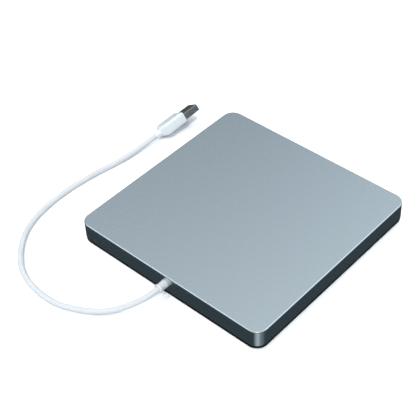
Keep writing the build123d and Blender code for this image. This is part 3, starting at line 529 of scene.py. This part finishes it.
def contact_gold():
    """Gold-plated contact strip with fine wear marks."""
    finish = Finish("contact_gold", (0.80, 0.55, 0.18), 0.22, metallic=1.0)
    finish.tint(finish.noise(0.8 * MM), (0.72, 0.48, 0.15), (0.86, 0.62, 0.24))
    finish.rough(finish.noise(0.2 * MM, 3, (1, 20, 1)), 0.15, 0.35)
    return finish.material


def worm_brass():
    """Turned brass with fine tool marks."""
    finish = Finish("worm_brass", (0.70, 0.50, 0.20), 0.25, metallic=1.0)
    finish.tint(finish.noise(1 * MM), (0.62, 0.43, 0.17), (0.76, 0.56, 0.25))
    finish.rough(finish.noise(0.1 * MM, 3, (1, 8, 1)), 0.18, 0.36)
    finish.bump(finish.noise(0.1 * MM), 0.003 * MM)
    return finish.material


FINISHES = (
    cover_aluminium, base_plastic, rubber, felt, zinc_steel, screw_steel, shaft_steel, deck_aluminium,
    black_plastic, white_acetal, copper_coil, lens_glass, green_board, chip_black, cable_white, plug_white,
    plug_steel, contact_gold, worm_brass,
)


def paint():
    """Gives each CAD node and each new piece the material of its slot."""
    materials = {make.__name__: make() for make in FINISHES}
    for part in frame["record"]["subparts"]:
        mesh = frame["nodes"][part["node"]].data
        mesh.materials.clear()
        mesh.materials.append(materials[part["material_slot"]])
    for piece in (cable, plug_body, plug_boot, relief):
        piece.data.materials.append(materials[piece["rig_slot"]])


paint()


# ---------------------------------------------------------------- stage
FLOOR_REACH = 6.0
# The room's colour against height: (direction's z, colour)
ROOM = (
    (-1.00, (0.046, 0.061, 0.070)),
    (-0.45, (0.046, 0.061, 0.070)),
    (-0.10, (0.200, 0.220, 0.245)),
    (0.30, (0.260, 0.280, 0.310)),
    (0.44, (0.250, 0.275, 0.310)),
    (0.60, (0.370, 0.405, 0.460)),
    (0.70, (0.580, 0.620, 0.665)),
    (0.80, (0.800, 0.835, 0.880)),
    (1.00, (0.880, 0.900, 0.930)),
)
# Soft bright patches of the room: (direction, bright and faded half angles in degrees, level)
GLOWS = (
    ((-0.45, 0.47, 0.76), 6, 22, 3.0),
    ((0.55, 0.20, 0.81), 6, 20, 2.0),
    ((-0.20, -0.50, 0.84), 6, 20, 0.7),
    ((-0.30, -0.80, 0.52), 12, 52, 0.65),
    ((-0.50, 0.53, -0.686), 1, 20, 0.7),
    ((-0.68, 0.22, -0.686), 8, 26, 0.19),
)
GLOW_TINT = (0.90, 0.96, 1.0)
# Key lights: (name, direction it comes from, level)
KEYS = (
    ("camera_key", (-0.30, 0.50, 0.78), 1.35),
    ("high_key", (0.18, 0.25, 0.95), 1.1),
)
KEY_ANGLE = math.radians(7)


def lay_floor():
    """A wide pale sheet under the feet, kept out of reflections so that the metal sides stay dark."""
    mesh = bpy.data.meshes.new("floor")
    corners = [(x * FLOOR_REACH, y * FLOOR_REACH, 0) for x, y in ((-1, -1), (1, -1), (1, 1), (-1, 1))]
    mesh.from_pydata(corners, [], [(0, 1, 2, 3)])
    floor = add_object("floor", mesh)
    finish = Finish("floor_paper", (0.96, 0.96, 0.96), 0.9)
    finish.shader.inputs["Specular IOR Level"].default_value = 0.0
    mesh.materials.append(finish.material)
    floor.visible_glossy = False


def light_room():
    """A soft studio room: a dome that darkens towards the ground, with bright patches round the object."""
    world = bpy.data.worlds.new("studio")
    bpy.context.scene.world = world
    world.use_nodes = True
    tree = world.node_tree
    direction = tree.nodes.new("ShaderNodeTexCoord").outputs["Generated"]
    height = tree.nodes.new("ShaderNodeSeparateXYZ")
    tree.links.new(direction, height.inputs["Vector"])
    share = tree.nodes.new("ShaderNodeMapRange")
    share.inputs["From Min"].default_value = -1.0
    tree.links.new(height.outputs["Z"], share.inputs["Value"])
    dome = tree.nodes.new("ShaderNodeValToRGB")
    stops = dome.color_ramp.elements
    while len(stops) < len(ROOM):
        stops.new(0.5)
    for stop, (z, colour) in zip(stops, ROOM):
        stop.position = 0.5 + z / 2
        stop.color = (*colour, 1.0)
    tree.links.new(share.outputs["Result"], dome.inputs["Fac"])
    total = dome.outputs["Color"]
    for towards, bright, faded, level in GLOWS:
        facing = tree.nodes.new("ShaderNodeVectorMath")
        facing.operation = "DOT_PRODUCT"
        facing.inputs[1].default_value = Vector(towards).normalized()
        tree.links.new(direction, facing.inputs[0])
        patch = tree.nodes.new("ShaderNodeMapRange")
        patch.interpolation_type = "SMOOTHSTEP"
        patch.inputs["From Min"].default_value = math.cos(math.radians(faded))
        patch.inputs["From Max"].default_value = math.cos(math.radians(bright))
        patch.inputs["To Max"].default_value = level
        tree.links.new(facing.outputs["Value"], patch.inputs["Value"])
        both = tree.nodes.new("ShaderNodeVectorMath")
        both.operation = "MULTIPLY_ADD"
        both.inputs[1].default_value = GLOW_TINT
        tree.links.new(patch.outputs["Result"], both.inputs[0])
        tree.links.new(total, both.inputs[2])
        total = both.outputs["Vector"]
    tree.links.new(total, tree.nodes["Background"].inputs["Color"])


def hang_keys():
    """Two broad key lights: one close to the camera's upper left, and a higher one further to its left."""
    for name, source, level in KEYS:
        data = bpy.data.lights.new(name, "SUN")
        data.energy = level
        data.angle = KEY_ANGLE
        key = add_object(name, data)
        key.rotation_euler = Vector(source).to_track_quat("Z", "Y").to_euler()
        key.visible_glossy = False


lay_floor()
light_room()
hang_keys()
bpy.context.scene.view_settings.view_transform = "Standard"

bpy.context.view_layer.update()
